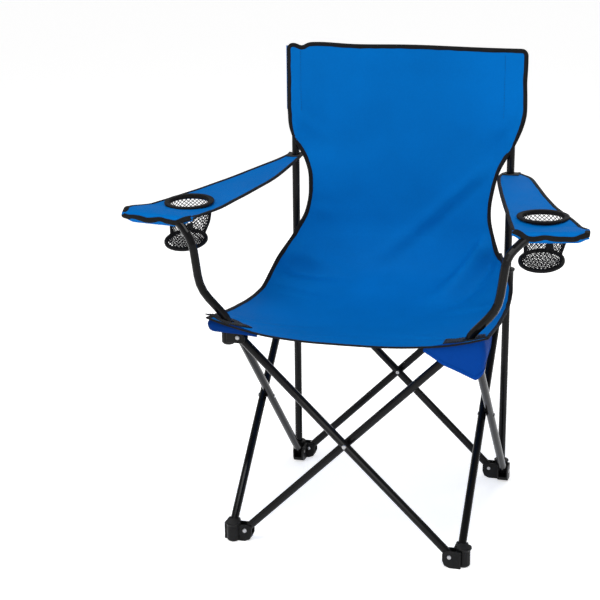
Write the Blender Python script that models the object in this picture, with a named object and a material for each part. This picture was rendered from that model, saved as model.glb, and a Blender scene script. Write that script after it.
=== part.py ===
# Folding camp chair: four scissor pairs of steel tube, plastic feet, hubs and sliders,
# two uprights, two bent arm posts, fabric seat, back and armrests, two mesh cup holders.
# Metres, +Z up, the front faces -Y; left and right are as seen from the front, so right is +X.
import math

import bmesh
import bpy
from mathutils import Matrix, Vector

for old in list(bpy.data.objects):
    bpy.data.objects.remove(old, do_unlink=True)

# ---- driving dimensions ----
SHIFT_Y = -0.00019         # moves the whole chair so that its box is centred on the origin
GAP = 0.0003               # clearance between touching pieces
TUBE_R = 0.0070
TUBE_WALL = 0.0009
TUBE_SIDES = 14
PITCH = 0.0143             # distance between the two tube layers of a face
LAYER = PITCH / 2
SPAN = 0.358               # pin to pin along a face, open
PIN_LOW = 0.020            # foot pin height
PIN_RISE = 0.350           # height from foot pins to hub pins, open
PIN_HIGH = PIN_LOW + PIN_RISE
INSET = 0.021              # pin distance from the corner axis
CORNER = SPAN / 2 + INSET  # corner axis distance from the centre, along X and along Y
TUBE_END = 0.006           # tube beyond its pin
PIN_R = 0.0022
PIN_HOLE_R = 0.0025
PIN_SIDES = 8
PIN_CUT = 0.040            # length of the cutters for the pin holes
HEAD_R = 0.0042
HEAD_H = 0.0019
TAIL_R = 0.0032
TAIL_H = 0.0012

SLOT_HALF = TUBE_R + GAP
LOBE_WALL = 0.0025
LOBE_HALF = SLOT_HALF + LOBE_WALL
LOBE_REACH = 0.033         # lobe length from the corner axis
LOBE_NEAR = -0.0020        # the lobe's near end, just past the corner axis
SLOT_NEAR = 0.0105         # where a tube slot starts, from the corner axis
SLOT_DEPTH = 0.0096        # slot floor below the pin
POST_SIDES = 16
POST_R = 0.0115            # corner post of a foot, hub or slider
FLARE_R = 0.0138
FLARE_H = 0.0065
LOBE_TOP = 0.0100          # lobe height beyond the pin, on the tube side
FOOT_POST_TOP = 0.0345
HUB_TOP = PIN_HIGH + 0.0123
HUB_LOW = PIN_HIGH - LOBE_TOP
SLIDER_TOP = 0.408
FOOT_BORE_FLOOR = 0.0080
STEP = 0.0001              # keeps joined faces out of one plane
CUT_PAST = 0.020           # a slot cutter runs this far past its lobe

FOOT_BORE = (FOOT_BORE_FLOOR, 0.080)
CUT_HIGH = 0.450           # bores are cut from below up to here
SLIDER_BORE = (0.300, CUT_HIGH)

UPRIGHT_TOP = 0.784
CAP_H = 0.0045
CAP_STEM = 0.012
POST_FOOT = 0.3570         # lower end of an arm post, inside its hub
HUB_BORE = (POST_FOOT - GAP, CUT_HIGH)
POST_RISE = (
    (CORNER, -CORNER, POST_FOOT),
    (CORNER, -CORNER, 0.3950),
    (0.2460, -0.2060, 0.4460),
)
POST_TOP = {                # where each arm post bends outwards, and its end under the armrest
    "left": ((0.2570, -0.2050, 0.5240), (0.2850, -0.1900, 0.5530), (0.3660, -0.1880, 0.5565)),
    "right": ((0.2570, -0.2050, 0.5300), (0.2850, -0.1900, 0.5590), (0.3660, -0.1880, 0.5635)),
}
POST_BENDS = (0.012, 0.022, 0.016, 0.012)
BEND_STEPS = 3

CLOTH = 0.0020             # stand-in thickness of a fabric panel
SLEEVE_LOW = 0.685
SLEEVE_HALF = 0.0102
BACK_TOP = 0.803
SLEEVE_TOP = 0.797

ARM_T = 0.0026
CUP_X = 0.2980
CUP_Y = -0.1040
CUP_TOP = {"left": 0.5670, "right": 0.5740}
CUP_HOLE_R = 0.0362
CUP_R = 0.0359
CUP_BASE_R = 0.0340
CUP_FLANGE_R = 0.0400
CUP_DEPTH = 0.0740
CUP_WALL = 0.0012
CUP_SIDES = 24
CUP_TILT = math.atan(0.1)  # the armrest falls this much towards its front

CUTTERS = bpy.data.collections.new("cutters")
bpy.context.scene.collection.children.link(CUTTERS)


# ---- materials ----
def material(name, colour, roughness, metallic=0.0):
    mat = bpy.data.materials.new(name)
    mat.use_nodes = True
    shader = mat.node_tree.nodes["Principled BSDF"]
    shader.inputs["Base Color"].default_value = (*colour, 1.0)
    shader.inputs["Roughness"].default_value = roughness
    shader.inputs["Metallic"].default_value = metallic
    mat.diffuse_color = (*colour, 1.0)
    return mat


BLACK_TUBE = (0.012, 0.012, 0.013)
BLACK_PLASTIC = (0.020, 0.020, 0.021)
BRIGHT_PIN = (0.62, 0.62, 0.63)
BLUE = (0.000, 0.117, 0.434)
DEEP_BLUE = (0.000, 0.060, 0.330)
NET = (0.030, 0.030, 0.032)


# ---- mesh helpers ----
def new_object(name, verts, faces, mat=None):
    mesh = bpy.data.meshes.new(name)
    mesh.from_pydata([tuple(v) for v in verts], [], faces)
    mesh.update()
    work = bmesh.new()
    work.from_mesh(mesh)
    bmesh.ops.recalc_face_normals(work, faces=work.faces)
    work.to_mesh(mesh)
    work.free()
    obj = bpy.data.objects.new(name, mesh)
    bpy.context.scene.collection.objects.link(obj)
    if mat is not None:
        mesh.materials.append(mat)
    return obj


def as_cutter(obj):
    for group in list(obj.users_collection):
        group.objects.unlink(obj)
    CUTTERS.objects.link(obj)
    obj.hide_render = True
    obj.display_type = "WIRE"
    return obj


def boolean(obj, other, operation):
    as_cutter(other)
    mod = obj.modifiers.new(operation.lower(), "BOOLEAN")
    mod.operation = operation
    mod.solver = "EXACT"
    mod.object = other


def frames_along(path):
    """One frame per path point, carried along without twist."""
    tangents = []
    for i, point in enumerate(path):
        ahead = path[min(i + 1, len(path) - 1)] - point
        behind = point - path[max(i - 1, 0)]
        tangents.append((ahead.normalized() + behind.normalized()).normalized())
    side = tangents[0].orthogonal().normalized()
    frames = []
    for i, tangent in enumerate(tangents):
        if i:
            turn = tangents[i - 1].rotation_difference(tangent)
            side = turn @ side
        side = (side - tangent * side.dot(tangent)).normalized()
        frames.append((side, tangent.cross(side)))
    return frames


def ring(centre, frame, radius, sides):
    out = []
    for i in range(sides):
        angle = 2 * math.pi * (i + 0.5) / sides
        out.append(centre + frame[0] * radius * math.cos(angle) + frame[1] * radius * math.sin(angle))
    return out


def bar(name, path, radius, sides):
    """A solid round bar along a polyline."""
    path = [Vector(p) for p in path]
    verts = []
    for point, frame in zip(path, frames_along(path)):
        verts.extend(ring(point, frame, radius, sides))
    faces = [tuple(range(sides)), tuple(range(len(verts) - sides, len(verts)))]
    for i in range(len(path) - 1):
        for j in range(sides):
            a = i * sides + j
            b = i * sides + (j + 1) % sides
            faces.append((a, b, b + sides, a + sides))
    return new_object(name, verts, faces)


def pipe(name, path, radius, wall, sides, mat):
    """A hollow tube along a polyline, open at both ends."""
    path = [Vector(p) for p in path]
    frames = frames_along(path)
    verts = []
    for layer_radius in (radius, radius - wall):
        for point, frame in zip(path, frames):
            verts.extend(ring(point, frame, layer_radius, sides))
    count = len(path)
    faces = []
    for layer in range(2):
        base = layer * count * sides
        for i in range(count - 1):
            for j in range(sides):
                a = base + i * sides + j
                b = base + i * sides + (j + 1) % sides
                faces.append((a, b, b + sides, a + sides))
    for i in (0, count - 1):
        for j in range(sides):
            a = i * sides + j
            b = i * sides + (j + 1) % sides
            inner = count * sides
            faces.append((a, b, b + inner, a + inner))
    return new_object(name, verts, faces, mat)


def rounded_path(corners, bends, steps):
    """The corner points with each inner corner replaced by an arc-like curve."""
    pts = [Vector(c) for c in corners]
    out = [pts[0]]
    for i in range(1, len(pts) - 1):
        reach = bends[i - 1]
        start = pts[i] + (pts[i - 1] - pts[i]).normalized() * reach
        end = pts[i] + (pts[i + 1] - pts[i]).normalized() * reach
        for k in range(steps + 1):
            t = k / steps
            out.append(start * (1 - t) ** 2 + pts[i] * 2 * t * (1 - t) + end * t ** 2)
    out.append(pts[-1])
    return out


def turned(name, profile, sides, mat=None):
    """A body of revolution about Z from (radius, z) pairs that start and end on the axis."""
    verts = []
    starts = []
    for radius, z in profile:
        starts.append((len(verts), radius))
        if radius == 0:
            verts.append(Vector((0, 0, z)))
            continue
        for i in range(sides):
            angle = 2 * math.pi * i / sides
            verts.append(Vector((radius * math.cos(angle), radius * math.sin(angle), z)))
    faces = []
    for (a, ra), (b, rb) in zip(starts, starts[1:]):
        for i in range(sides):
            j = (i + 1) % sides
            if ra == 0:
                faces.append((a, b + j, b + i))
            elif rb == 0:
                faces.append((a + i, a + j, b))
            else:
                faces.append((a + i, a + j, b + j, b + i))
    return new_object(name, verts, faces, mat)


def prism(name, outline, depth, chamfer, mat=None):
    """A convex outline in XY, extruded along Z from 0 to depth, with chamfered rims."""
    count = len(outline)
    inset = []
    for i in range(count):
        here = Vector(outline[i])
        one = (here - Vector(outline[i - 1])).normalized()
        two = (Vector(outline[(i + 1) % count]) - here).normalized()
        inward = Vector((-one.y - two.y, one.x + two.x)).normalized()
        inset.append(here + inward * chamfer)
    full = [Vector(p) for p in outline]
    verts = []
    for flat, z in ((inset, 0.0), (full, chamfer), (full, depth - chamfer), (inset, depth)):
        verts.extend(Vector((p.x, p.y, z)) for p in flat)
    faces = [tuple(range(count - 1, -1, -1)), tuple(range(3 * count, 4 * count))]
    for layer in range(3):
        for i in range(count):
            a = layer * count + i
            b = layer * count + (i + 1) % count
            faces.append((a, b, b + count, a + count))
    return new_object(name, verts, faces, mat)


def box(name, low, high):
    xs, ys, zs = zip(low, high)
    verts = [Vector((x, y, z)) for z in zs for y in ys for x in xs]
    faces = [(0, 2, 3, 1), (4, 5, 7, 6), (0, 1, 5, 4), (2, 6, 7, 3), (0, 4, 6, 2), (1, 3, 7, 5)]
    return new_object(name, verts, faces)


def rod_cutter(centre, axis, radius, length, sides):
    cutter = turned("cut_rod", ((0, -length / 2), (radius, -length / 2), (radius, length / 2), (0, length / 2)),
                    sides)
    turn = Vector((0, 0, 1)).rotation_difference(Vector(axis)).to_matrix().to_4x4()
    cutter.data.transform(Matrix.Translation(Vector(centre)) @ turn)
    return cutter


def bake(obj):
    """Turn the modifiers into plain geometry, then move the object with its mesh."""
    graph = bpy.context.evaluated_depsgraph_get()
    mesh = bpy.data.meshes.new_from_object(obj.evaluated_get(graph))
    obj.modifiers.clear()
    obj.data = mesh
    return obj


# ---- placing by quarter turns ----
def quarter(k):
    return Matrix.Rotation(k * math.pi / 2, 4, "Z")


def put(obj, matrix, pivot=None):
    """Place the mesh in the chair frame; the origin goes to the pivot, if one is given."""
    obj.data.transform(Matrix.Translation((0, SHIFT_Y, 0)) @ matrix)
    if pivot is not None:
        origin = Matrix.Translation((0, SHIFT_Y, 0)) @ matrix @ Vector(pivot)
        obj.data.transform(Matrix.Translation(-origin))
        obj.matrix_world = Matrix.Translation(origin)
    return obj


# ---- one plastic joint block: a corner post with two tube lobes ----
def lobe_outline(low, high, near_low):
    """Side view of a lobe, reaching from the corner post outwards; rounded at the far end."""
    small = 0.0055
    large = 0.0125
    steps = 2
    pts = [(LOBE_NEAR, low), (LOBE_NEAR, high)]
    round_high = large if near_low else small
    round_low = small if near_low else large
    for k in range(steps + 1):
        angle = math.pi / 2 * k / steps
        pts.append((-LOBE_REACH + round_high * (1 - math.sin(angle)), high - round_high * (1 - math.cos(angle))))
    for k in range(steps + 1):
        angle = math.pi / 2 * k / steps
        pts.append((-LOBE_REACH + round_low * (1 - math.cos(angle)), low + round_low * (1 - math.sin(angle))))
    return pts


def lobe(layer_y, low, high, near_low):
    """A lobe that reaches to -X, centred on the layer."""
    outline = lobe_outline(low, high, near_low)
    piece = prism("lobe", outline, 2 * LOBE_HALF, 0.0009)
    upright = Matrix(((1, 0, 0, 0), (0, 0, -1, layer_y + LOBE_HALF), (0, 1, 0, 0), (0, 0, 0, 1)))
    piece.data.transform(upright)
    return piece


def joint_block(name, mat, top_side, post_profile, bore, side):
    """A foot (side -1: tubes leave upwards) or a hub or slider (side +1: tubes leave downwards)."""
    block = turned(name, post_profile, POST_SIDES, mat)
    pin_z = PIN_HIGH if top_side else PIN_LOW
    low = HUB_LOW if top_side else 0.0
    high = HUB_TOP if top_side else PIN_LOW + LOBE_TOP
    layer_y = side * LAYER
    lobe_a = lobe(layer_y, low + STEP, high - STEP, top_side)
    lobe_b = lobe(layer_y, low + 2 * STEP, high - 2 * STEP, top_side)
    lobe_b.data.transform(quarter(-1))
    boolean(block, lobe_a, "UNION")
    boolean(block, lobe_b, "UNION")
    if top_side:
        slot_z = (HUB_LOW - CUT_PAST, PIN_HIGH + SLOT_DEPTH)
    else:
        slot_z = (PIN_LOW - SLOT_DEPTH, PIN_LOW + LOBE_TOP + CUT_PAST)
    slot_low = (-LOBE_REACH - CUT_PAST, layer_y - SLOT_HALF, slot_z[0])
    slot_high = (-SLOT_NEAR, layer_y + SLOT_HALF, slot_z[1])
    slot_a = box("slot", slot_low, slot_high)
    slot_b = box("slot", slot_low, slot_high)
    slot_b.data.transform(quarter(-1))
    boolean(block, slot_a, "DIFFERENCE")
    boolean(block, slot_b, "DIFFERENCE")
    hole_a = rod_cutter((-INSET, layer_y, pin_z), (0, 1, 0), PIN_HOLE_R, PIN_CUT, PIN_SIDES)
    hole_b = rod_cutter((layer_y, INSET, pin_z), (1, 0, 0), PIN_HOLE_R, PIN_CUT, PIN_SIDES)
    boolean(block, hole_a, "DIFFERENCE")
    boolean(block, hole_b, "DIFFERENCE")
    if bore is not None:
        middle = (bore[0] + bore[1]) / 2
        boolean(block, rod_cutter((0, 0, middle), (0, 0, 1), SLOT_HALF, bore[1] - bore[0], TUBE_SIDES), "DIFFERENCE")
    return bake(block)


FOOT_POST = (
    (0, 0.0), (POST_R - 0.003, 0.0), (POST_R, 0.003), (POST_R, FOOT_POST_TOP - FLARE_H),
    (FLARE_R, FOOT_POST_TOP - 0.0025), (FLARE_R, FOOT_POST_TOP - 0.0008), (FLARE_R - 0.001, FOOT_POST_TOP),
    (0, FOOT_POST_TOP),
)
HUB_POST = (
    (0, HUB_LOW - 0.006), (POST_R - 0.003, HUB_LOW - 0.006), (POST_R, HUB_LOW - 0.003), (POST_R, HUB_TOP - 0.001),
    (POST_R - 0.001, HUB_TOP), (0, HUB_TOP),
)
SLIDER_POST = (
    (0, HUB_LOW), (POST_R - 0.001, HUB_LOW), (POST_R, HUB_LOW + 0.001), (POST_R, SLIDER_TOP - FLARE_H),
    (FLARE_R, SLIDER_TOP - 0.0025), (FLARE_R, SLIDER_TOP - 0.0008), (FLARE_R - 0.001, SLIDER_TOP), (0, SLIDER_TOP),
)

# Corners by quarter turns from the front right one (+X, -Y).
CORNERS = {"front_right": 0, "rear_right": 1, "rear_left": 2, "front_left": 3}


def corner_matrix(k):
    return quarter(k) @ Matrix.Translation((CORNER, -CORNER, 0))


for corner, k in CORNERS.items():
    plastic = material("foot_" + corner, BLACK_PLASTIC, 0.42)
    rear = corner.startswith("rear")
    foot_bore = FOOT_BORE if rear else None
    foot = joint_block("foot_" + corner, plastic, False, FOOT_POST, foot_bore, -1)
    put(foot, corner_matrix(k))
    head_name = "slider_" + corner[5:] if rear else "hub_" + corner[6:]
    plastic = material(head_name, BLACK_PLASTIC, 0.42)
    if rear:
        head = joint_block(head_name, plastic, True, SLIDER_POST, SLIDER_BORE, 1)
    else:
        head = joint_block(head_name, plastic, True, HUB_POST, HUB_BORE, 1)
    put(head, corner_matrix(k))


# ---- scissor tubes: one outer and one inner tube per face ----
FACES = {"front": 0, "right": 1, "rear": 2, "left": 3}


def drill(obj, centre, axis, length):
    boolean(obj, rod_cutter(centre, axis, PIN_HOLE_R, length, PIN_SIDES), "DIFFERENCE")


def scissor_tube(name, layer, low_x, mat):
    """A tube of the front face; the layer is +1 for the outer one, low_x its foot pin."""
    y = -CORNER - layer * LAYER
    low = Vector((low_x, y, PIN_LOW))
    high = Vector((-low_x, y, PIN_HIGH))
    along = (high - low).normalized()
    tube = pipe(name, (low - along * TUBE_END, high + along * TUBE_END), TUBE_R, TUBE_WALL, TUBE_SIDES, mat)
    for point in (low, (low + high) / 2, high):
        drill(tube, point, (0, 1, 0), 4 * TUBE_R)
    return bake(tube), low


def rivet(name, outer, axis, grip, mat):
    """A domed rivet; outer is where its head meets the outer face, axis points outwards."""
    profile = [
        (0, -grip - GAP / 2 - TAIL_H), (TAIL_R, -grip - GAP / 2 - TAIL_H * 0.6), (TAIL_R, -grip - GAP / 2),
        (PIN_R, -grip - GAP / 2), (PIN_R, GAP / 2), (HEAD_R, GAP / 2), (HEAD_R * 0.8, GAP / 2 + HEAD_H * 0.7),
        (0, GAP / 2 + HEAD_H),
    ]
    pin = turned(name, profile, PIN_SIDES, mat)
    turn = Vector((0, 0, 1)).rotation_difference(Vector(axis)).to_matrix().to_4x4()
    pin.data.transform(Matrix.Translation(Vector(outer)) @ turn)
    return pin


for face, k in FACES.items():
    turn = quarter(k)
    half = SPAN / 2
    for label, layer, low_x in (("outer", 1, half), ("inner", -1, -half)):
        paint = material("tube_%s_%s" % (face, label), BLACK_TUBE, 0.24)
        tube, pin = scissor_tube("tube_%s_%s" % (face, label), layer, low_x, paint)
        put(tube, turn, pin)
    out = Vector((0, -1, 0))
    pivot_pin = material("pin_%s_pivot" % face, BRIGHT_PIN, 0.3, 1.0)
    middle = Vector((0, -CORNER - LAYER - TUBE_R, (PIN_LOW + PIN_HIGH) / 2))
    put(rivet("pin_%s_pivot" % face, middle, out, PITCH + 2 * TUBE_R, pivot_pin), turn)
    for label, layer, x, z in (
        ("foot_outer", 1, half, PIN_LOW), ("head_outer", 1, -half, PIN_HIGH),
        ("foot_inner", -1, -half, PIN_LOW), ("head_inner", -1, half, PIN_HIGH),
    ):
        steel = material("pin_%s_%s" % (face, label), BRIGHT_PIN, 0.3, 1.0)
        start = Vector((x, -CORNER - layer * LAYER - LOBE_HALF, z))
        put(rivet("pin_%s_%s" % (face, label), start, out, 2 * LOBE_HALF, steel), turn)

# ---- uprights with caps and foot pins ----
for side, sign in (("left", -1), ("right", 1)):
    here = Vector((sign * CORNER, CORNER, 0))
    paint = material("upright_" + side, BLACK_TUBE, 0.24)
    upright = pipe("upright_" + side, (here + Vector((0, 0, FOOT_BORE_FLOOR + GAP)), here + Vector((0, 0, UPRIGHT_TOP))),
                   TUBE_R, TUBE_WALL, TUBE_SIDES, paint)
    put(upright, Matrix())
    inner = TUBE_R - TUBE_WALL - GAP
    cap_mat = material("cap_upright_" + side, BLACK_PLASTIC, 0.42)
    cap = turned("cap_upright_" + side, (
        (0, -CAP_STEM), (inner, -CAP_STEM), (inner, GAP), (TUBE_R, GAP), (TUBE_R, CAP_H - 0.001),
        (TUBE_R - 0.001, CAP_H), (0, CAP_H)), TUBE_SIDES, cap_mat)
    put(cap, Matrix.Translation(here + Vector((0, 0, UPRIGHT_TOP))))

# ---- arm posts ----
FLIP_X = Matrix.Scale(-1, 4, (1, 0, 0))


def mirrored(obj, sign):
    """Mirror a right-hand piece for the left side, keeping its faces outward."""
    if sign < 0:
        obj.data.transform(FLIP_X)
        obj.data.flip_normals()
    return obj


def post_route(side):
    return rounded_path(POST_RISE + POST_TOP[side], POST_BENDS, BEND_STEPS)


def post_room(side):
    """The arm post's route, run on past its plug."""
    bend, end = (Vector(p) for p in POST_TOP[side][-2:])
    return post_route(side) + [end + (end - bend).normalized() * (CAP_H + GAP)]


for side, sign in (("left", -1), ("right", 1)):
    paint = material("arm_post_" + side, BLACK_TUBE, 0.24)
    route = post_route(side)
    post = pipe("arm_post_" + side, route, TUBE_R, TUBE_WALL, TUBE_SIDES, paint)
    put(mirrored(post, sign), Matrix())
    plug_mat = material("plug_arm_post_" + side, BLACK_PLASTIC, 0.42)
    inner = TUBE_R - TUBE_WALL - GAP
    plug = turned("plug_arm_post_" + side, (
        (0, -CAP_STEM), (inner, -CAP_STEM), (inner, GAP), (TUBE_R, GAP), (TUBE_R, CAP_H - 0.001),
        (TUBE_R - 0.001, CAP_H), (0, CAP_H)), TUBE_SIDES, plug_mat)
    bend, end = (Vector(p) for p in POST_TOP[side][-2:])
    heading = (end - bend).normalized()
    turn = Vector((0, 0, 1)).rotation_difference(heading).to_matrix().to_4x4()
    plug.data.transform(Matrix.Translation(end) @ turn)
    put(mirrored(plug, sign), Matrix())


# ---- fabric panels ----
def sheet(name, rows, thickness, mat):
    """A closed panel from rows of points, thickened evenly to both sides."""
    across = len(rows[0])
    count = len(rows)
    middle = [[Vector(p) for p in row] for row in rows]
    verts = []
    for side in (1, -1):
        for i in range(count):
            for j in range(across):
                down = middle[min(i + 1, count - 1)][j] - middle[max(i - 1, 0)][j]
                over = middle[i][min(j + 1, across - 1)] - middle[i][max(j - 1, 0)]
                verts.append(middle[i][j] + down.cross(over).normalized() * side * thickness / 2)
    faces = []
    for side in range(2):
        base = side * count * across
        for i in range(count - 1):
            for j in range(across - 1):
                a = base + i * across + j
                faces.append((a, a + 1, a + 1 + across, a + across))
    rim = [(0, j) for j in range(across)]
    rim += [(i, across - 1) for i in range(1, count)]
    rim += [(count - 1, j) for j in range(across - 2, -1, -1)]
    rim += [(i, 0) for i in range(count - 2, 0, -1)]
    for one, two in zip(rim, rim[1:] + rim[:1]):
        a = one[0] * across + one[1]
        b = two[0] * across + two[1]
        other = count * across
        faces.append((a, b, b + other, a + other))
    return new_object(name, verts, faces, mat)


def smooth_rows(keys, steps):
    """Catmull-Rom rows between the key rows."""
    out = []
    last = len(keys) - 1
    for i in range(last):
        p0, p1, p2, p3 = keys[max(i - 1, 0)], keys[i], keys[i + 1], keys[min(i + 2, last)]
        for k in range(steps):
            t = k / steps
            out.append([
                0.5 * (2 * b + (c - a) * t + (2 * a - 5 * b + 4 * c - d) * t * t + (3 * b - a - 3 * c + d) * t ** 3)
                for a, b, c, d in zip(p0, p1, p2, p3)
            ])
    out.append(list(keys[last]))
    return out


# Each key row: reach to the left and to the right, edge Y, edge Z, centre Y, centre Z.
BACK_KEYS = (
    (0.2115, 0.2255, CORNER - 0.0086, BACK_TOP, 0.1960, BACK_TOP),
    (0.2113, 0.2252, CORNER - 0.0086, 0.7450, 0.2060, 0.7450),
    (0.2112, 0.2250, CORNER - 0.0086, SLEEVE_LOW, 0.2140, SLEEVE_LOW),
    (0.2045, 0.2095, CORNER - 0.0092, 0.6400, 0.2190, 0.6400),
    (0.1775, 0.1815, CORNER - 0.0110, 0.5900, 0.2230, 0.5890),
    (0.1705, 0.1685, CORNER - 0.0130, 0.5450, 0.2260, 0.5440),
    (0.1765, 0.1660, CORNER - 0.0180, 0.5000, 0.2260, 0.4980),
    (0.1950, 0.1790, CORNER - 0.0330, 0.4600, 0.2200, 0.4550),
)
SEAT_KEYS = (
    (0.1965, 0.1805, CORNER - 0.0345, 0.4570, 0.2190, 0.4515),
    (0.2140, 0.2060, CORNER - 0.0700, 0.4240, 0.1920, 0.3990),
    (0.2215, 0.2240, 0.0980, 0.4010, 0.1400, 0.3720),
    (0.2265, 0.2265, 0.0560, 0.3790, 0.0780, 0.3570),
    (0.2285, 0.2285, -0.0200, 0.3780, -0.0100, 0.3510),
    (0.2290, 0.2310, -0.1000, 0.3850, -0.0940, 0.3550),
    (0.2290, 0.2335, -0.1700, 0.3950, -0.1680, 0.3655),
    (0.2285, 0.2350, -0.2270, 0.4035, -0.2270, 0.3740),
)
ACROSS = 11


def panel_rows(keys, steps):
    """Rows across a panel, each a parabola from edge to edge."""
    rows = []
    for left, right, edge_y, edge_z, mid_y, mid_z in smooth_rows(keys, steps):
        row = []
        for j in range(ACROSS):
            u = -1 + 2 * j / (ACROSS - 1)
            sag = 1 - u * u
            row.append((u * (left if u < 0 else right), edge_y + (mid_y - edge_y) * sag,
                        edge_z + (mid_z - edge_z) * sag))
        rows.append(row)
    return rows


blue = material("back", BLUE, 0.85)
back = sheet("back", panel_rows(BACK_KEYS, 2), CLOTH, blue)
for sign in (-1, 1):
    x = sign * CORNER
    low = (x - SLEEVE_HALF, CORNER - 0.0092, SLEEVE_LOW)
    high = (x + SLEEVE_HALF, CORNER + SLEEVE_HALF, SLEEVE_TOP)
    boolean(back, box("sleeve", low, high), "UNION")
bake(back)
SLEEVE_ROOM_LOW = 0.450    # the room for an upright is cut from here up
for sign in (-1, 1):
    room = UPRIGHT_TOP + CAP_H + GAP - SLEEVE_ROOM_LOW
    middle = (sign * CORNER, CORNER, SLEEVE_ROOM_LOW + room / 2)
    boolean(back, rod_cutter(middle, (0, 0, 1), SLOT_HALF, room, TUBE_SIDES), "DIFFERENCE")
put(bake(back), Matrix())

SEAT_SPLIT = 8             # the row where the seat folds
seat_rows = panel_rows(SEAT_KEYS, 2)
rear_rows = seat_rows[:SEAT_SPLIT + 1]
front_rows = seat_rows[SEAT_SPLIT:]
nudge = GAP / 2
rear_rows[-1] = [(x, y + nudge, z) for x, y, z in rear_rows[-1]]
front_rows[0] = [(x, y - nudge, z) for x, y, z in front_rows[0]]
seat_rear = sheet("seat_rear", rear_rows, CLOTH, material("seat_rear", BLUE, 0.85))
put(seat_rear, Matrix())
seat_front = sheet("seat_front", front_rows, CLOTH, material("seat_front", BLUE, 0.85))
for side, sign in (("left", -1), ("right", 1)):
    boolean(seat_front, mirrored(bar("room", post_route(side), TUBE_R + GAP, TUBE_SIDES), sign), "DIFFERENCE")
put(bake(seat_front), Matrix())

# ---- armrests: a flat panel with a rolled front sleeve round the post ----
# Each key row, from the rear: inner X, outer X, Y, Z.
ARM_KEYS = {
    "left": (
        (0.1890, 0.2150, 0.2120, 0.5990),
        (0.1885, 0.2300, 0.1600, 0.5940),
        (0.1970, 0.2720, 0.0700, 0.5815),
        (0.2170, 0.3150, -0.0250, 0.5715),
        (0.2370, 0.3550, -0.1150, 0.5620),
        (0.2540, 0.3790, -0.1790, 0.5605),
    ),
    "right": (
        (0.1905, 0.2150, 0.2120, 0.5800),
        (0.1875, 0.2390, 0.1600, 0.5815),
        (0.1995, 0.2660, 0.0700, 0.5810),
        (0.2210, 0.3030, -0.0250, 0.5785),
        (0.2400, 0.3460, -0.1150, 0.5695),
        (0.2560, 0.3790, -0.1790, 0.5645),
    ),
}
ARM_ACROSS = 6
ROLL_STEPS = 7
ROLL_SWEEP = 205
ROLL_R = TUBE_R + GAP + ARM_T / 2 + 0.0006
ROLL_X = (0.2600, 0.3795)
ROLL_Y = -0.1890
TIP_RISE = {"left": 0.0050, "right": 0.0085}   # the outer front corner stands this much higher
RISE_START = -0.1460
RISE_END = -0.1790
HOLE_CUT = 0.060           # length of the cutters for the cup hole and the upright


def arm_rows(side):
    rows = []
    for inner, outer, y, z in smooth_rows(ARM_KEYS[side], 3):
        rise = TIP_RISE[side] * min(1.0, max(0.0, (y - RISE_START) / (RISE_END - RISE_START)))
        row = []
        for j in range(ARM_ACROSS + 1):
            t = j / ARM_ACROSS
            row.append((inner + (outer - inner) * t, y, z + rise * t))
        rows.append(row)
    bend, end = (Vector(p) for p in POST_TOP[side][-2:])
    slope = (end.z - bend.z) / (end.x - bend.x)
    for k in range(1, ROLL_STEPS + 1):
        angle = math.radians(90 - ROLL_SWEEP * k / ROLL_STEPS)
        row = []
        for j in range(ARM_ACROSS + 1):
            x = ROLL_X[0] + (ROLL_X[1] - ROLL_X[0]) * j / ARM_ACROSS
            axis_z = bend.z + (x - bend.x) * slope
            row.append((x, ROLL_Y - ROLL_R * math.cos(angle), axis_z + ROLL_R * math.sin(angle)))
        rows.append(row)
    return rows


for side, sign in (("left", -1), ("right", 1)):
    arm = sheet("armrest_" + side, arm_rows(side), ARM_T, material("armrest_" + side, BLUE, 0.85))
    hole_axis = (0, -math.sin(CUP_TILT), math.cos(CUP_TILT))
    hole = (CUP_X, CUP_Y, CUP_TOP[side])
    boolean(arm, rod_cutter(hole, hole_axis, CUP_HOLE_R, HOLE_CUT, CUP_SIDES), "DIFFERENCE")
    pole = (CORNER, CORNER, ARM_KEYS[side][0][3])
    boolean(arm, rod_cutter(pole, (0, 0, 1), SLOT_HALF, HOLE_CUT, TUBE_SIDES), "DIFFERENCE")
    boolean(arm, bar("room", post_room(side), TUBE_R + GAP, TUBE_SIDES), "DIFFERENCE")
    put(mirrored(bake(arm), sign), Matrix())

# ---- cup holders ----
def cup_matrix(side, sign):
    tilt = Matrix.Rotation(CUP_TILT, 4, "X")
    return Matrix.Translation((sign * CUP_X, CUP_Y, CUP_TOP[side])) @ tilt


for side, sign in (("left", -1), ("right", 1)):
    cup = turned("cup_" + side, (
        (0, -CUP_DEPTH), (CUP_BASE_R, -CUP_DEPTH), (CUP_R, -0.004), (CUP_R, 0.0), (CUP_FLANGE_R, 0.0),
        (CUP_FLANGE_R, 0.0016), (CUP_R - CUP_WALL, 0.0016), (CUP_BASE_R - CUP_WALL, -CUP_DEPTH + CUP_WALL),
        (0, -CUP_DEPTH + CUP_WALL)), CUP_SIDES, material("cup_" + side, NET, 0.8))
    put(cup, cup_matrix(side, sign))

# ---- corner pockets under the seat, round the hubs ----
POCKET_T = 0.0012
POCKET_FRONT = CORNER + 0.0221
POCKET_SIDE = CORNER + 0.0270
POCKET_CURVE = 0.010
POCKET_BACK = 0.060        # how far the pocket runs back from the corner axis
# For each side: inner reach, middle reach, top Z at the inner end, middle and corner, drop at the corner.
POCKETS = {
    "left": (0.0560, 0.0300, 0.3820, 0.3880, 0.3945, 0.0080),
    "right": (0.0680, 0.0350, 0.3795, 0.3865, 0.3945, 0.0560),
}
POCKET_EDGE = 0.0060       # depth at the ends


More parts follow.
